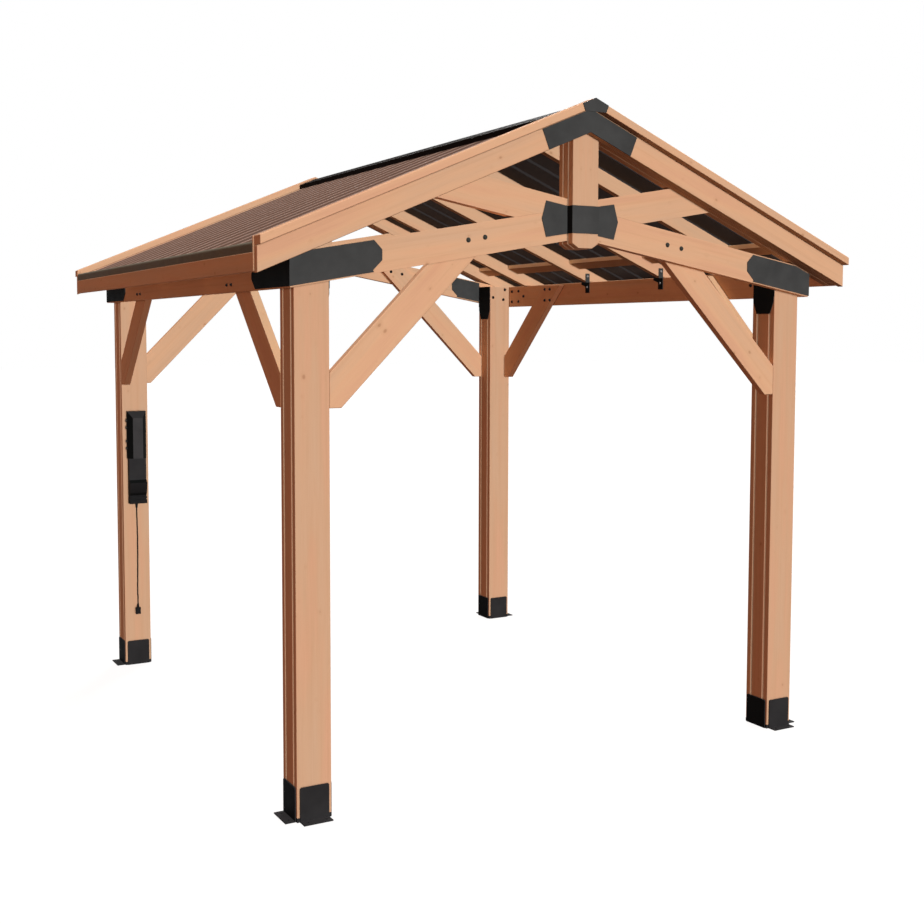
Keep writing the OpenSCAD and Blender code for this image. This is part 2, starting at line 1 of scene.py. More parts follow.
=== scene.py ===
import math
import random

import bmesh
import bpy
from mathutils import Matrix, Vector


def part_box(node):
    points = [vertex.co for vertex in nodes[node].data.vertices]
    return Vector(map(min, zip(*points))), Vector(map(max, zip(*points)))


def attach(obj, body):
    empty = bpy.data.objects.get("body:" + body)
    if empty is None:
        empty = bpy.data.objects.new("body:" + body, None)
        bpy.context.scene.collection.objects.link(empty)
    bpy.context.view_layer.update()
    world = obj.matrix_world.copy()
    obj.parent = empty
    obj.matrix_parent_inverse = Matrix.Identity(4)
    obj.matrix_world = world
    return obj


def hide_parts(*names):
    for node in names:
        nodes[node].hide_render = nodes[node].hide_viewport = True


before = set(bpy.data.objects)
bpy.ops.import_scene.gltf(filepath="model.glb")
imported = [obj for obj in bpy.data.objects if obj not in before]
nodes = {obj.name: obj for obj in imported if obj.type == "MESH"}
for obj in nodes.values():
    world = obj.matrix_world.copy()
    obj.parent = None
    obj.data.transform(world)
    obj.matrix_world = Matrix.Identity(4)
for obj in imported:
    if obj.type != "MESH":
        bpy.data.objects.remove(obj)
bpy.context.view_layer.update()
random.seed(7)

# Directions of the gazebo: front is -Y, left is -X
SIDES = (-1, 1)
LOW, HIGH = 0, 1
X, Y, Z = 0, 1, 2

# Slopes of the timbers, in degrees
TIE_SLOPE = 9.8
BRACE_SLOPE = 45.0
ROOF_SLOPE = math.degrees(math.atan2(5, 12))


# Camera

PHOTO_SIZE = 924
SENSOR = 36.0
FOCAL_PIXELS = 1226.19
PHOTO_CENTRE = (418.43, 412.33)
EYE = (-3.128, -5.8237, 1.9498)
YAW = math.radians(27.9687)
DIP = math.radians(-3.7291)


def add_camera():
    data = bpy.data.cameras.new("photo_camera")
    data.sensor_width = SENSOR
    data.lens = SENSOR * FOCAL_PIXELS / PHOTO_SIZE
    data.shift_x = (PHOTO_SIZE / 2 - PHOTO_CENTRE[0]) / PHOTO_SIZE
    data.shift_y = (PHOTO_CENTRE[1] - PHOTO_SIZE / 2) / PHOTO_SIZE
    camera = bpy.data.objects.new("photo_camera", data)
    bpy.context.scene.collection.objects.link(camera)
    ahead = Vector((math.sin(YAW) * math.cos(DIP), math.cos(YAW) * math.cos(DIP), math.sin(DIP)))
    camera.location = EYE
    camera.rotation_euler = ahead.to_track_quat("-Z", "Y").to_euler()
    bpy.context.scene.camera = camera


# Materials

class Graph:
    """The nodes of one material, added in reading order."""

    def __init__(self, name):
        self.material = bpy.data.materials.new(name)
        self.material.use_nodes = True
        self.tree = self.material.node_tree
        self.shader = self.tree.nodes["Principled BSDF"]
        self.output = self.tree.nodes["Material Output"]

    def plug(self, socket, value):
        if isinstance(value, bpy.types.NodeSocket):
            self.tree.links.new(value, socket)
        else:
            socket.default_value = value

    def add(self, kind, inputs, **settings):
        node = self.tree.nodes.new(kind)
        for name, value in settings.items():
            setattr(node, name, value)
        for name, value in inputs.items():
            self.plug(node.inputs[name], value)
        return node

    def math(self, operation, first, second=0.0):
        return self.add("ShaderNodeMath", {0: first, 1: second}, operation=operation).outputs[0]

    def span(self, value, low, high, to_low=0.0, to_high=1.0):
        """Map low to high onto to_low to to_high, held at both ends."""
        inputs = {"Value": value, "From Min": low, "From Max": high, "To Min": to_low, "To Max": to_high}
        return self.add("ShaderNodeMapRange", inputs).outputs["Result"]

    def noise(self, vector, scale, detail=3.0, roughness=0.55, distortion=0.0):
        inputs = {
            "Vector": vector, "Scale": scale, "Detail": detail, "Roughness": roughness,
            "Distortion": distortion,
        }
        return self.add("ShaderNodeTexNoise", inputs).outputs["Fac"]

    def mix(self, amount, first, second, blend="MIX"):
        node = self.add("ShaderNodeMix", {}, data_type="RGBA", blend_type=blend)
        self.plug(node.inputs["Factor"], amount)
        self.plug(node.inputs["A"], first)
        self.plug(node.inputs["B"], second)
        return node.outputs["Result"]

    def bump(self, height, strength, distance):
        inputs = {"Height": height, "Strength": strength, "Distance": distance}
        return self.add("ShaderNodeBump", inputs).outputs["Normal"]

    def place(self):
        return self.add("ShaderNodeTexCoord", {}).outputs["Object"]


def rgb(red, green, blue):
    """A colour given as it shows on a screen, 0 to 255."""
    def linear(value):
        value /= 255
        return value / 12.92 if value <= 0.04045 else ((value + 0.055) / 1.055) ** 2.4
    return (linear(red), linear(green), linear(blue), 1.0)


DULL = 0.01
BOARD = "board"
BOARD_SHIFT = (37.0, 11.0, 5.0)
WHITE = (1.0, 1.0, 1.0, 1.0)

# How each set of timbers turns so that its grain runs along the texture's X, in degrees
GRAIN_UP = (0, 90, 0)
GRAIN_BACK = (0, 0, -90)
GRAIN_TIE = (0, -TIE_SLOPE, 0)
GRAIN_STRUT = (0, TIE_SLOPE, 0)
GRAIN_ROOF = (0, -ROOF_SLOPE, 0)
GRAIN_GABLE_BRACE = (0, -BRACE_SLOPE, 0)
GRAIN_SIDE_BRACE = (BRACE_SLOPE, 0, -90)

POST_TONE = rgb(206, 166, 133)
TIMBER_TONE = rgb(218, 174, 137)
GREY_TONE = rgb(204, 170, 140)
LATE_TONE = rgb(186, 141, 105)
ROSY_TONE = rgb(212, 165, 133)
KNOT_TONE = rgb(146, 98, 66)
# Colour of the painted shade in corners, gaps and on the roof timbers' undersides
PAINTED_SHADE_TONE = rgb(70, 40, 26)

# Cells per metre along and across the grain
KNOT_CELLS = (15.0, 21.0)
BAND_CELLS = (1.1, 62.0)
FIBRE_CELLS = (9.0, 420.0)
PATCH_CELLS = (1.3, 13.0)
KNOT_SWERVE = 0.012
# Reach and samples of the painted shade in corners and gaps
SHADE_REACH = 0.012
SHADE_SAMPLES = 6
# Pitch of the painted shade lines on the undersides of the roof timbers
SHADE_LINE_PITCH = 0.012

# Painted light and shade: tints of the faces that look up, out and down, lighter or darker by how the light
# falls on them
BRACE_TOP_SHADE = (0.8, 0.82, 0.79, 1.0)
BRACE_UNDER_LIGHT = (1.35, 1.35, 1.35, 1.0)
PURLIN_SIDE_LIGHT = (1.4, 1.9, 2.2, 1.0)
PURLIN_UNDER_SHADE = (0.59, 0.58, 0.57, 1.0)
ROOF_TOP_SHADE = (0.84, 0.84, 0.84, 1.0)
FACE_LIGHT_TINTS = {
    GRAIN_SIDE_BRACE: {"top": BRACE_TOP_SHADE, "under": BRACE_UNDER_LIGHT},
    GRAIN_ROOF: {"top": ROOF_TOP_SHADE},
}

# How dark the painted shade in corners and gaps between parts gets: faint on the braces, which lie behind
# the boards they meet
DEEP_CORNER_SHADE = 0.75
FAINT_CORNER_SHADE = 0.35
FAINT_SHADE_TURNS = (GRAIN_GABLE_BRACE, GRAIN_SIDE_BRACE)


def wood(name, turn, tone, top=WHITE, side=WHITE, under=WHITE):
    """Planed light softwood with small knots, with painted shade darkening corners and gaps between parts,
    faces tinted lighter or darker by how they face as painted light and shade, and painted shade in close
    dark lines on the undersides of the roof timbers.
    """
    g = Graph(name)
    apart = g.add("ShaderNodeSeparateXYZ", {"Vector": g.place()})
    mirrored = g.add("ShaderNodeCombineXYZ", {
        "X": g.math("ABSOLUTE", apart.outputs["X"]),
        "Y": g.math("ABSOLUTE", apart.outputs["Y"]),
        "Z": apart.outputs["Z"],
    }).outputs["Vector"]
    turned = g.add("ShaderNodeMapping", {
        "Vector": mirrored, "Rotation": [math.radians(angle) for angle in turn],
    }).outputs["Vector"]
    board = g.add("ShaderNodeAttribute", {}, attribute_name=BOARD).outputs["Fac"]
    shift = g.add("ShaderNodeCombineXYZ", {
        axis: g.math("MULTIPLY", board, reach) for axis, reach in zip("XYZ", BOARD_SHIFT)
    }).outputs["Vector"]
    along = g.add("ShaderNodeVectorMath", {0: turned, 1: shift}, operation="ADD").outputs["Vector"]

    def stretched(vector, cells):
        length, across = cells
        inputs = {"Vector": vector, "Scale": (length, across, across)}
        return g.add("ShaderNodeMapping", inputs).outputs["Vector"]

    cells = g.add("ShaderNodeTexVoronoi", {"Vector": stretched(along, KNOT_CELLS), "Scale": 1.0})
    pick = g.add("ShaderNodeSeparateColor", {"Color": cells.outputs["Color"]}).outputs["Red"]
    from_knot = g.math("SUBTRACT", cells.outputs["Distance"], g.span(pick, 0.3, 1.0, -0.3, 0.1))
    knot_core = g.span(from_knot, 0.0, 0.09, 1.0, 0.0)
    knot_halo = g.span(from_knot, 0.0, 0.28, 1.0, 0.0)
    aside = g.math("MULTIPLY", knot_halo, KNOT_SWERVE)
    swerve = g.add("ShaderNodeCombineXYZ", {"Y": aside}).outputs["Vector"]
    fibre_path = g.add("ShaderNodeVectorMath", {0: along, 1: swerve}, operation="ADD").outputs["Vector"]

    bands = g.noise(stretched(fibre_path, BAND_CELLS), 1.0, 3.0, 0.55, 0.3)
    fibres = g.noise(stretched(fibre_path, FIBRE_CELLS), 1.0, 3.0, 0.6)
    patches = g.noise(stretched(along, PATCH_CELLS), 1.0, 2.0)

    colour = g.mix(g.span(patches, 0.42, 0.68, 0.0, 0.7), tone, GREY_TONE)
    colour = g.mix(g.span(patches, 0.48, 0.3, 0.0, 0.85), colour, ROSY_TONE)
    colour = g.mix(g.span(bands, 0.5, 0.78, 0.0, 0.25), colour, LATE_TONE)
    colour = g.mix(g.span(fibres, 0.5, 0.85, 0.0, 0.26), colour, LATE_TONE)
    colour = g.mix(g.math("MULTIPLY", knot_halo, 0.18), colour, LATE_TONE)
    colour = g.mix(g.math("MULTIPLY", knot_core, 0.4), colour, KNOT_TONE)
    # Painted shade: ambient occlusion darkens corners, grooves and gaps between parts
    nearby = g.add("ShaderNodeAmbientOcclusion", {"Distance": SHADE_REACH}, samples=SHADE_SAMPLES)
    corner = nearby.outputs["AO"]
    depth = FAINT_CORNER_SHADE if turn in FAINT_SHADE_TURNS else DEEP_CORNER_SHADE
    colour = g.mix(g.span(corner, 0.45, 0.8, depth, 0.0), colour, PAINTED_SHADE_TONE)
    # Painted light and shade: each face is tinted by whether it looks up, sideways or down
    facing = g.add("ShaderNodeNewGeometry", {}).outputs["True Normal"]
    upward = g.add("ShaderNodeSeparateXYZ", {"Vector": facing}).outputs["Z"]
    painted_light_tint = g.mix(g.span(upward, 0.5, 0.65), side, top)
    painted_light_tint = g.mix(g.span(upward, -0.5, -0.65), painted_light_tint, under)
    colour = g.mix(1.0, colour, painted_light_tint, "MULTIPLY")
    # Painted shade: the undersides of the roof timbers darken in close lines
    if turn == GRAIN_ROOF:
        wave = g.math("SINE", g.math("MULTIPLY", apart.outputs["Y"], 2 * math.pi / SHADE_LINE_PITCH))
        underside_shade_lines = g.span(wave, -0.6, 0.6, 0.25, 0.75)
        colour = g.mix(g.math("MULTIPLY", g.span(upward, -0.7, -0.85), underside_shade_lines), colour, PAINTED_SHADE_TONE)
    tint = g.span(board, 0.0, 1.0, 0.985, 1.015)
    shade = g.add("ShaderNodeCombineColor", {"Red": tint, "Green": tint, "Blue": tint}).outputs["Color"]
    g.plug(g.shader.inputs["Base Color"], g.mix(1.0, colour, shade, "MULTIPLY"))
    g.plug(g.shader.inputs["Roughness"], g.span(fibres, 0.2, 0.8, 0.56, 0.74))
    g.plug(g.shader.inputs["Normal"], g.bump(fibres, 0.1, 0.0005))
    g.shader.inputs["Specular IOR Level"].default_value = DULL
    return g.material


COAT_SWING = 0.14
GLOSS_SWING = 0.06
FINE_PEEL = 1600.0


def painted(name, colour, roughness, grain_scale=900.0, specular=0.005, side=None):
    """Powder coat: fine orange peel and slightly uneven gloss; where a side colour is given, the faces that
    look along X take it as painted shade.
    """
    g = Graph(name)
    place = g.place()
    peel = g.noise(place, grain_scale, 2.0)
    cloud = g.noise(place, 9.0, 3.0)
    darker = tuple((1 - COAT_SWING) * part for part in colour[:3]) + (1.0,)
    lighter = tuple((1 + COAT_SWING) * part for part in colour[:3]) + (1.0,)
    coat = g.mix(g.span(cloud, 0.3, 0.7), darker, lighter)
    # Painted shade: faces that look along X darken to the side colour
    if side:
        facing = g.add("ShaderNodeNewGeometry", {}).outputs["True Normal"]
        sideways = g.math("ABSOLUTE", g.add("ShaderNodeSeparateXYZ", {"Vector": facing}).outputs["X"])
        coat = g.mix(g.span(sideways, 0.6, 0.9), coat, side)
    g.plug(g.shader.inputs["Base Color"], coat)
    gloss = g.span(cloud, 0.3, 0.7, roughness - GLOSS_SWING, roughness + GLOSS_SWING)
    g.plug(g.shader.inputs["Roughness"], gloss)
    g.plug(g.shader.inputs["Normal"], g.bump(peel, 0.15, 0.0003))
    g.shader.inputs["Specular IOR Level"].default_value = specular
    return g.material


ROOF_RIB = rgb(140, 116, 104)
ROOF_FLANK = rgb(92, 72, 62)
ROOF_BACK = rgb(64, 62, 62)
RIB_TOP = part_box("left_roof_sheet")[HIGH][Z]


def roof_sheet():
    """Brown coated sheet: paler on the ribs' tops, dark on their flanks, with a grey back coat."""
    g = Graph("roof_sheet")
    place = g.place()
    apart = g.add("ShaderNodeSeparateXYZ", {"Vector": place})
    drop = g.math("MULTIPLY", g.math("ABSOLUTE", apart.outputs["X"]), math.tan(math.radians(ROOF_SLOPE)))
    below = g.math("SUBTRACT", RIB_TOP, g.math("ADD", apart.outputs["Z"], drop))
    facing = g.add("ShaderNodeNewGeometry", {}).outputs["True Normal"]
    upward = g.add("ShaderNodeSeparateXYZ", {"Vector": facing}).outputs["Z"]
    peel = g.noise(place, 260.0, 3.0)
    cloud = g.noise(place, 3.5, 4.0)
    top = g.mix(g.span(below, 0.001, 0.004), ROOF_RIB, ROOF_FLANK)
    top = g.mix(g.span(cloud, 0.3, 0.7, 0.0, 0.2), top, ROOF_FLANK)
    top = g.mix(g.span(peel, 0.45, 0.75, 0.0, 0.3), top, ROOF_FLANK)
    g.plug(g.shader.inputs["Base Color"], g.mix(g.span(upward, -0.05, 0.05), ROOF_BACK, top))
    g.plug(g.shader.inputs["Roughness"], g.span(cloud, 0.3, 0.7, 0.5, 0.62))
    g.plug(g.shader.inputs["Normal"], g.bump(peel, 0.12, 0.0005))
    g.shader.inputs["Specular IOR Level"].default_value = DULL
    return g.material


PANEL_BLACK = rgb(64, 64, 65)
# Near-black housing colour, also painted shade on the faces turned away from the front
HOUSING_BLACK_AND_SHADE = rgb(15, 17, 17)
LOWER_BLACK = rgb(50, 50, 51)
BASE_BLACK = rgb(36, 36, 37)
BOX_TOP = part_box("power_box")[HIGH][Z]
UPPER_HOUSING_H = 0.274
BASE_DROP = 0.405
HOUSING_JOINT = BOX_TOP - UPPER_HOUSING_H
BASE_JOINT = BOX_TOP - BASE_DROP


def moulded():
    """Moulded plastic: satin front panels in bands with a darker base; faces turned away from the front
    darken smoothly to near black, a dark housing colour that is partly painted shade on the sides and
    bevels.
    """
    g = Graph("moulded_black_plastic")
    place = g.place()
    height = g.add("ShaderNodeSeparateXYZ", {"Vector": place}).outputs["Z"]
    facing = g.add("ShaderNodeNewGeometry", {}).outputs["True Normal"]
    forward = g.add("ShaderNodeSeparateXYZ", {"Vector": facing}).outputs["Y"]
    peel = g.noise(place, 1400.0, 2.0)
    cloud = g.noise(place, 14.0, 3.0)
    front = g.mix(g.math("GREATER_THAN", height, BASE_JOINT), BASE_BLACK, LOWER_BLACK)
    front = g.mix(g.math("GREATER_THAN", height, HOUSING_JOINT), front, PANEL_BLACK)
    front = g.mix(g.span(cloud, 0.3, 0.7, 0.0, 0.2), front, HOUSING_BLACK_AND_SHADE)
    # Partly painted shade: faces turned away from the front darken smoothly to the housing black
    g.plug(g.shader.inputs["Base Color"], g.mix(g.span(forward, -0.66, -0.97), HOUSING_BLACK_AND_SHADE, front))
    g.plug(g.shader.inputs["Roughness"], g.span(cloud, 0.3, 0.7, 0.42, 0.55))
    g.plug(g.shader.inputs["Normal"], g.bump(peel, 0.15, 0.0003))
    g.shader.inputs["Specular IOR Level"].default_value = DULL
    return g.material


STEEL_BLACK = rgb(66, 68, 68)
FOOT_BLACK = rgb(46, 46, 47)
# Painted shade for the steel faces that look along X
SIDE_SHADE_BLACK = rgb(28, 35, 39)
CAP_BLACK = rgb(24, 20, 18)
CORD_BLACK = rgb(30, 30, 31)
DRIP_BROWN = rgb(104, 100, 86)
SCREW_ZINC = rgb(150, 150, 150)
BOLT_BLACK = rgb(34, 33, 33)
BOLT_GREY = rgb(64, 66, 62)

steel = painted("black_powder_coat", STEEL_BLACK, 0.6, side=SIDE_SHADE_BLACK)
foot_steel = painted("black_foot_coat", FOOT_BLACK, 0.6, side=SIDE_SHADE_BLACK)
cap_metal = painted("black_roof_metal", CAP_BLACK, 0.65)
plastic = moulded()
rubber = painted("cord_rubber_black", CORD_BLACK, 0.6, FINE_PEEL)
drip_metal = painted("brown_drip_metal", DRIP_BROWN, 0.5)
bolt_metal = painted("blackened_bolts", BOLT_BLACK, 0.45, FINE_PEEL)
plated_metal = painted("plated_bolts", BOLT_GREY, 0.4, FINE_PEEL)
zinc = painted("zinc_screws", SCREW_ZINC, 0.35, FINE_PEEL, 0.5)
sheet_metal = roof_sheet()


# Finish of the CAD nodes

WOOD_NODES = {
    GRAIN_UP: [
        "front_left_post_core", "front_left_post_boards",
        "front_right_post_core", "front_right_post_boards",
        "rear_left_post_core", "rear_left_post_boards",
        "rear_right_post_core", "rear_right_post_boards",
        "front_king_core", "front_king_boards", "rear_king_core", "rear_king_boards",
    ],
    GRAIN_BACK: ["left_beam", "right_beam", "purlins", "fascia_boards"],
    GRAIN_TIE: ["front_ties", "rear_ties"],
    GRAIN_STRUT: ["front_struts", "rear_struts"],
    GRAIN_GABLE_BRACE: ["front_gable_braces", "rear_gable_braces"],
    GRAIN_SIDE_BRACE: ["left_side_braces", "right_side_braces"],
    GRAIN_ROOF: [
        "left_gable_rafters", "right_gable_rafters", "left_barge_boards", "right_barge_boards",
        "left_trims", "right_trims", "left_rafters", "right_rafters",
    ],
}
STEEL_NODES = [
    "corner_plates", "inner_brackets", "bow_tie_plates", "chevron_plates",
    "peak_caps", "rafter_clips",
]
OTHER_NODES = {
    "front_feet": foot_steel, "rear_feet": foot_steel,
    "left_roof_sheet": sheet_metal, "right_roof_sheet": sheet_metal, "drip_edges": drip_metal,
    "ridge_cap": cap_metal, "power_box": plastic, "power_plug": plastic,
}
WOOD_EDGE = 0.0028
FLUSH_EDGE = 0.0007
FLUSH_TURNS = (GRAIN_TIE, GRAIN_STRUT)
STEEL_EDGE = 0.0009
SAME_POINT = 0.00001
FLAT_ANGLE = math.radians(0.5)
SHARP_ANGLE = math.radians(30)


def board_numbers():
    """A node group that joins the split corners and gives each loose board a number of its own."""
    group = bpy.data.node_groups.new("board_numbers", "GeometryNodeTree")
    group.interface.new_socket("Geometry", in_out="INPUT", socket_type="NodeSocketGeometry")
    group.interface.new_socket("Geometry", in_out="OUTPUT", socket_type="NodeSocketGeometry")
    group.interface.new_socket("Seed", in_out="INPUT", socket_type="NodeSocketInt")
    add = group.nodes.new
    start = add("NodeGroupInput")
    merge = add("GeometryNodeMergeByDistance")
    merge.inputs["Distance"].default_value = SAME_POINT
    clean = add("GeometryNodeRemoveAttribute")
    clean.inputs["Name"].default_value = "custom_normal"
    island = add("GeometryNodeInputMeshIsland")
    pick = add("FunctionNodeRandomValue")
    pick.data_type = "FLOAT"
    store = add("GeometryNodeStoreNamedAttribute")
    store.data_type = "FLOAT"
    store.domain = "POINT"
    store.inputs["Name"].default_value = BOARD
    smooth = add("GeometryNodeSetShadeSmooth")
    end = add("NodeGroupOutput")
    link = group.links.new
    random_value = next(socket for socket in pick.outputs if socket.enabled)
    link(start.outputs["Geometry"], merge.inputs["Geometry"])
    link(merge.outputs["Geometry"], clean.inputs["Geometry"])
    link(clean.outputs["Geometry"], store.inputs["Geometry"])
    link(island.outputs["Island Index"], pick.inputs["ID"])
    link(start.outputs["Seed"], pick.inputs["Seed"])
    stored_value = next(socket for socket in store.inputs if socket.name == "Value" and socket.enabled)
    link(random_value, stored_value)
    link(store.outputs["Geometry"], smooth.inputs["Geometry"])
    link(smooth.outputs["Geometry"], end.inputs["Geometry"])
    return group


numbering = board_numbers()
SEED_SOCKET = next(item.identifier for item in numbering.interface.items_tree if item.name == "Seed")


def ease_edges(obj, width, seed):
    """Number the boards and round their sharp edges."""
    numbered = obj.modifiers.new("boards", "NODES")
    numbered.node_group = numbering
    numbered[SEED_SOCKET] = seed
    flat = obj.modifiers.new("flat_faces", "DECIMATE")
    flat.decimate_type = "DISSOLVE"
    flat.angle_limit = FLAT_ANGLE
    eased = obj.modifiers.new("eased_edges", "BEVEL")
    eased.width = width
    eased.segments = 2
    eased.limit_method = "ANGLE"
    eased.angle_limit = SHARP_ANGLE
    eased.use_clamp_overlap = True
    eased.harden_normals = True


def give(name, material):
    obj = nodes[name]
    for slot in obj.material_slots:
        slot.material = material


def finish_nodes():
    seed = 0
    for number, (turn, names) in enumerate(WOOD_NODES.items()):
        tone = POST_TONE if turn == GRAIN_UP else TIMBER_TONE
        material = wood(f"softwood_{number}", turn, tone, **FACE_LIGHT_TINTS.get(turn, {}))
        for name in names:
            seed += 1
            give(name, material)
            ease_edges(nodes[name], FLUSH_EDGE if turn in FLUSH_TURNS else WOOD_EDGE, seed)
    # Painted light and shade on the purlins: lighter sides, darker undersides
    purlin_light_tints = {"side": PURLIN_SIDE_LIGHT, "under": PURLIN_UNDER_SHADE}
    give("purlins", wood("purlin_softwood", GRAIN_BACK, TIMBER_TONE, **purlin_light_tints))
    for name in STEEL_NODES:
        give(name, steel)
        ease_edges(nodes[name], STEEL_EDGE, seed)
    for name, material in OTHER_NODES.items():
        give(name, material)
        ease_edges(nodes[name], STEEL_EDGE, seed)


# Cord

CORD_X, CORD_Y = -1.247, 1.228
CORD_D = 0.008
MM_PER_M = 1000
# Offsets from the gland's axis and heights above the ground, in millimetres
CORD_ROUTE = [
    (0, 0, 929), (0, 0, 905), (0, 0, 881), (1, 0, 857), (1, 0, 833),
    (2, 0, 809), (2, 1, 785), (3, 1, 761), (3, 1, 737), (3, 2, 713),
    (3, 2, 689), (3, 2, 665), (3, 2, 641), (2, 2, 617), (2, 1, 593),
    (1, 1, 569), (1, 1, 545), (0, 0, 521), (0, 0, 497), (-1, 0, 473),
    (-1, 0, 449), (-1, 0, 425), (0, 0, 401), (0, 0, 381), (0, 0, 363),
]


def add_cord():
    points = [
        Vector((CORD_X + x / MM_PER_M, CORD_Y + y / MM_PER_M, z / MM_PER_M)) for x, y, z in CORD_ROUTE
    ]
    data = bpy.data.curves.new("power_lead", "CURVE")
    data.dimensions = "3D"
    data.bevel_depth = CORD_D / 2
    data.bevel_resolution = 5
    data.resolution_u = 6
    data.use_fill_caps = True
    spline = data.splines.new("BEZIER")
    spline.bezier_points.add(len(points) - 1)
    for knot, point in zip(spline.bezier_points, points):
        knot.co = point
        knot.handle_left_type = "AUTO"
        knot.handle_right_type = "AUTO"
    lead = bpy.data.objects.new("power_lead", data)
    bpy.context.scene.collection.objects.link(lead)
    data.materials.append(rubber)
    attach(lead, "root")
    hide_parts("power_cord")


# Bolts and screws

def new_piece(name, mesh, material):
    mesh.materials.append(material)
    obj = bpy.data.objects.new(name, mesh)
    bpy.context.scene.collection.objects.link(obj)
    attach(obj, "root")
    return obj


def ring(build, centre, outward, radius, sides, lift, start):
    """A ring of corners round an axis, lifted off the surface."""
    axis = Vector(outward).normalized()
    side = axis.orthogonal().normalized()
    other = axis.cross(side)
    corners = []
    for step in range(sides):
        angle = start + 2 * math.pi * step / sides
        reach = math.cos(angle) * side + math.sin(angle) * other
        corners.append(build.verts.new(centre + radius * reach + lift * axis))
    return corners


def turned_head(build, centre, outward, outline, sides, start=0.0):
    """A head whose outline is (radius, height) pairs, closed on top."""
    rings = [ring(build, Vector(centre), outward, radius, sides, lift, start) for radius, lift in outline]
    for lower, upper in zip(rings, rings[1:]):
        for step in range(sides):
            following = (step + 1) % sides
            build.faces.new((lower[step], lower[following], upper[following], upper[step]))
    build.faces.new(rings[-1])


WASHER = [(0.0095, -0.0005), (0.0095, 0.0014), (0.0089, 0.002), (0.006, 0.002)]
HEX_HEAD = [(0.0075, 0.0018), (0.0075, 0.0058), (0.0067, 0.0068), (0.003, 0.007)]
WASHER_SIDES = 20
HEX_SIDES = 6
PAN_SIDES = 14
PAN_HEAD = [(0.0062, -0.0005), (0.0062, 0.0012), (0.0052, 0.0028), (0.003, 0.0036), (0.0018, 0.0022)]


def bolts(name, places, material, size=1.0):
    """Hexagon heads on washers, as (point, outward) pairs."""
    washer = [(size * radius, lift) for radius, lift in WASHER]
    head = [(size * radius, lift) for radius, lift in HEX_HEAD]
    build = bmesh.new()
    for point, outward in places:
        turned_head(build, point, outward, washer, WASHER_SIDES)
        turned_head(build, point, outward, head, HEX_SIDES, random.uniform(0, math.pi / 3))
    mesh = bpy.data.meshes.new(name)
    build.to_mesh(mesh)
    build.free()
    return new_piece(name, mesh, material)


def screws(name, places, material):
    """Small pan heads with a recess, as (point, outward) pairs."""
    build = bmesh.new()
    for point, outward in places:
        turned_head(build, point, outward, PAN_HEAD, PAN_SIDES)
    mesh = bpy.data.meshes.new(name)
    build.to_mesh(mesh)
    build.free()
    mesh.shade_smooth()
    return new_piece(name, mesh, material)


TIE_BOLTS = ((0.480, 2.344), (0.560, 2.330))
BRACE_BOLTS_Y = (0.700, 0.757)
BEAM_BOLTS_Z = (2.155, 2.224)
CORNER_BOLTS_Y = (1.126, 1.207)
CORNER_BOLT_TIP = (1.064, 2.189)
POST_BOLTS = ((1.285, 2.237), (1.192, 2.184), (1.273, 2.170))
CLIP_SCREW_X, CLIP_SCREW_Z = 1.305, 2.290
CLIP_LEG_Z = 2.226
CLIP_LEG_STEP = 0.022
CLIP_PITCH = 0.695
CLIP_T = 0.003
TIE_BOLT_SIZE = 1.1
BEAM_BOLT_SIZE = 0.75


def add_bolts():
    tie_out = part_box("rear_ties")[HIGH][Y]
    brace_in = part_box("rear_gable_braces")[LOW][Y]
    beam_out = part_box("right_beam")[HIGH][X]
    beam_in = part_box("right_beam")[LOW][X]
    side_brace_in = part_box("right_side_braces")[LOW][X]
    post_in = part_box("rear_right_post_boards")[LOW][Y]
    clip_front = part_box("rafter_clips")[LOW][Y]
    clip_in = beam_in - CLIP_T
    ties, inside, braces, beams, corners, posts, clips = [], [], [], [], [], [], []
    for side in SIDES:
        for end in SIDES:
            for x, z in TIE_BOLTS:
                ties.append(((side * x, end * tie_out, z), (0, end, 0)))
                inside.append(((side * x, end * brace_in, z), (0, -end, 0)))
            for y in BRACE_BOLTS_Y:
                for z in BEAM_BOLTS_Z:
                    braces.append(((side * side_brace_in, end * y, z), (-side, 0, 0)))
                    beams.append(((side * beam_out, end * y, z), (side, 0, 0)))
            for y in CORNER_BOLTS_Y:
                for z in BEAM_BOLTS_Z:
                    corners.append(((side * beam_in, end * y, z), (-side, 0, 0)))
            tip_y, tip_z = CORNER_BOLT_TIP
            corners.append(((side * beam_in, end * tip_y, tip_z), (-side, 0, 0)))
            for x, z in POST_BOLTS:
                posts.append(((side * x, end * post_in, z), (0, -end, 0)))
        for row in (0, 1):
            y = clip_front + row * CLIP_PITCH
            clips.append(((side * CLIP_SCREW_X, y, CLIP_SCREW_Z), (0, -1, 0)))
            clips.append(((side * clip_in, y + CLIP_LEG_STEP, CLIP_LEG_Z), (-side, 0, 0)))
    bolts("tie_bolts", ties, plated_metal, TIE_BOLT_SIZE)
    bolts("gable_brace_bolts", inside, bolt_metal)
    bolts("brace_bolts", braces, bolt_metal)
    bolts("beam_bolts", beams, bolt_metal, BEAM_BOLT_SIZE)
    bolts("corner_bolts", corners, bolt_metal)
    bolts("post_bolts", posts, bolt_metal)
    screws("clip_screws", clips, zinc)


# Studio

AMBIENT = (0.18, 0.095, 0.068, 1.0)
FILL = (0.95, 0.48, 0.33)
CLEAR = (1.0, 1.0, 1.0)
FLOOR_PALE = (0.25, 0.25, 0.25, 1.0)
FLOOR_GLOW = 0.75
FLOOR_BOUNCE = (0.12, 0.06, 0.04, 1.0)
FLOOR_HALF = 60.0
FLOOR_Z = -0.001

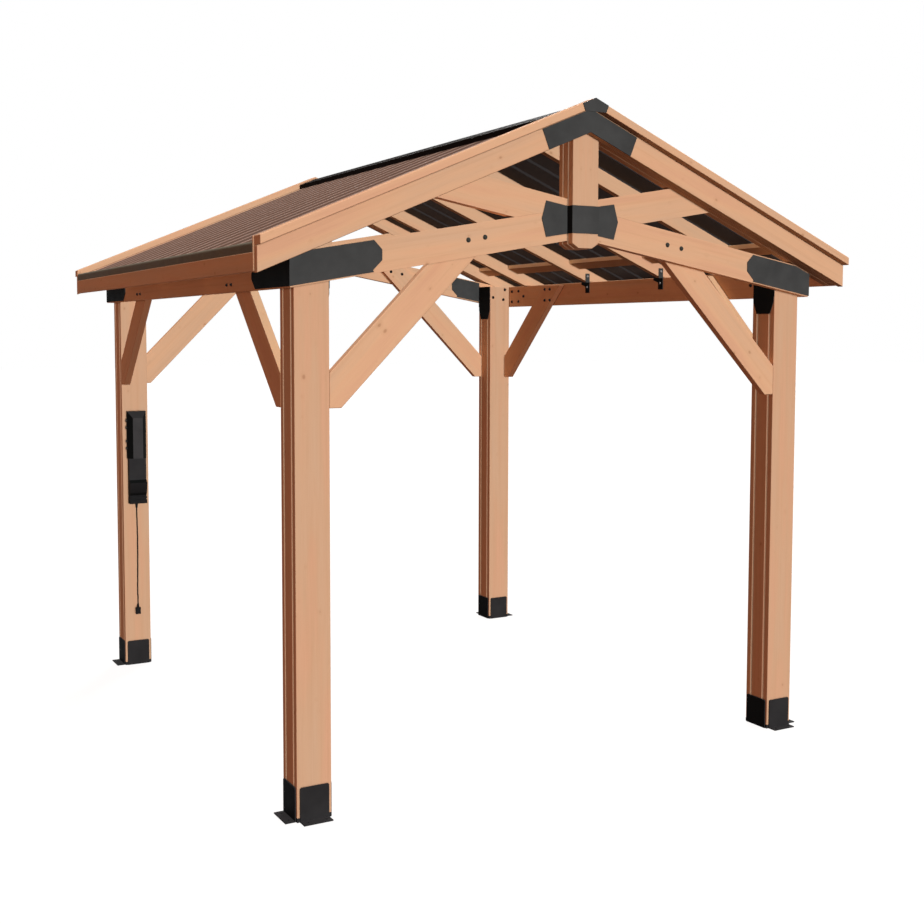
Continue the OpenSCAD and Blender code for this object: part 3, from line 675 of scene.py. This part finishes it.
# Name, direction it comes from, strength, spread in degrees, shadow, colour
SUNS = (
    ("front_light", (0.1, -1.0, 0.92), 3.75, 10, False, CLEAR),
    ("left_fill", (-1.0, 0.0, 0.7), 0.475, 10, False, FILL),
    ("rear_light", (0.8, 1.0, 0.6), 2.0, 20, True, CLEAR),
    ("overhead_light", (0.35, -0.15, 1.0), 0.5, 30, True, CLEAR),
)


def studio_floor():
    g = Graph("studio_floor")
    rays = g.add("ShaderNodeLightPath", {})
    seen = g.math("MAXIMUM", rays.outputs["Is Camera Ray"], rays.outputs["Is Glossy Ray"])
    seen = g.math("MAXIMUM", seen, rays.outputs["Is Transmission Ray"])
    pale = g.add("ShaderNodeBsdfDiffuse", {"Color": FLOOR_PALE}).outputs[0]
    glow = g.add("ShaderNodeEmission", {"Color": WHITE, "Strength": FLOOR_GLOW}).outputs[0]
    white = g.add("ShaderNodeAddShader", {0: pale, 1: glow}).outputs[0]
    plain = g.add("ShaderNodeBsdfDiffuse", {"Color": FLOOR_BOUNCE}).outputs[0]
    shown = g.add("ShaderNodeMixShader", {0: seen, 1: plain, 2: white}).outputs[0]
    g.plug(g.output.inputs["Surface"], shown)
    return g.material


def add_floor():
    mesh = bpy.data.meshes.new("floor")
    turns = ((-1, -1), (1, -1), (1, 1), (-1, 1))
    corners = [(x * FLOOR_HALF, y * FLOOR_HALF, FLOOR_Z) for x, y in turns]
    mesh.from_pydata(corners, [], [(0, 1, 2, 3)])
    mesh.materials.append(studio_floor())
    floor = bpy.data.objects.new("floor", mesh)
    bpy.context.scene.collection.objects.link(floor)


def add_sun(name, source, strength, spread, shadow, colour):
    data = bpy.data.lights.new(name, "SUN")
    data.energy = strength
    data.color = colour
    data.angle = math.radians(spread)
    data.use_shadow = shadow
    lamp = bpy.data.objects.new(name, data)
    bpy.context.scene.collection.objects.link(lamp)
    lamp.rotation_euler = Vector(source).to_track_quat("Z", "Y").to_euler()


def add_world():
    world = bpy.data.worlds.new("studio")
    world.use_nodes = True
    bpy.context.scene.world = world
    tree = world.node_tree
    tree.nodes.clear()
    rays = tree.nodes.new("ShaderNodeLightPath")
    seen = tree.nodes.new("ShaderNodeMath")
    seen.operation = "MAXIMUM"
    through = tree.nodes.new("ShaderNodeMath")
    through.operation = "MAXIMUM"
    around = tree.nodes.new("ShaderNodeBackground")
    around.inputs["Color"].default_value = AMBIENT
    white = tree.nodes.new("ShaderNodeBackground")
    white.inputs["Color"].default_value = WHITE
    shown = tree.nodes.new("ShaderNodeMixShader")
    end = tree.nodes.new("ShaderNodeOutputWorld")
    link = tree.links.new
    link(rays.outputs["Is Camera Ray"], seen.inputs[0])
    link(rays.outputs["Is Glossy Ray"], seen.inputs[1])
    link(seen.outputs[0], through.inputs[0])
    link(rays.outputs["Is Transmission Ray"], through.inputs[1])
    link(through.outputs[0], shown.inputs[0])
    link(around.outputs[0], shown.inputs[1])
    link(white.outputs[0], shown.inputs[2])
    link(shown.outputs[0], end.inputs["Surface"])


def add_studio():
    add_floor()
    add_world()
    for sun in SUNS:
        add_sun(*sun)
    bpy.context.scene.view_settings.view_transform = "Standard"


add_camera()
add_cord()
finish_nodes()
add_bolts()
add_studio()
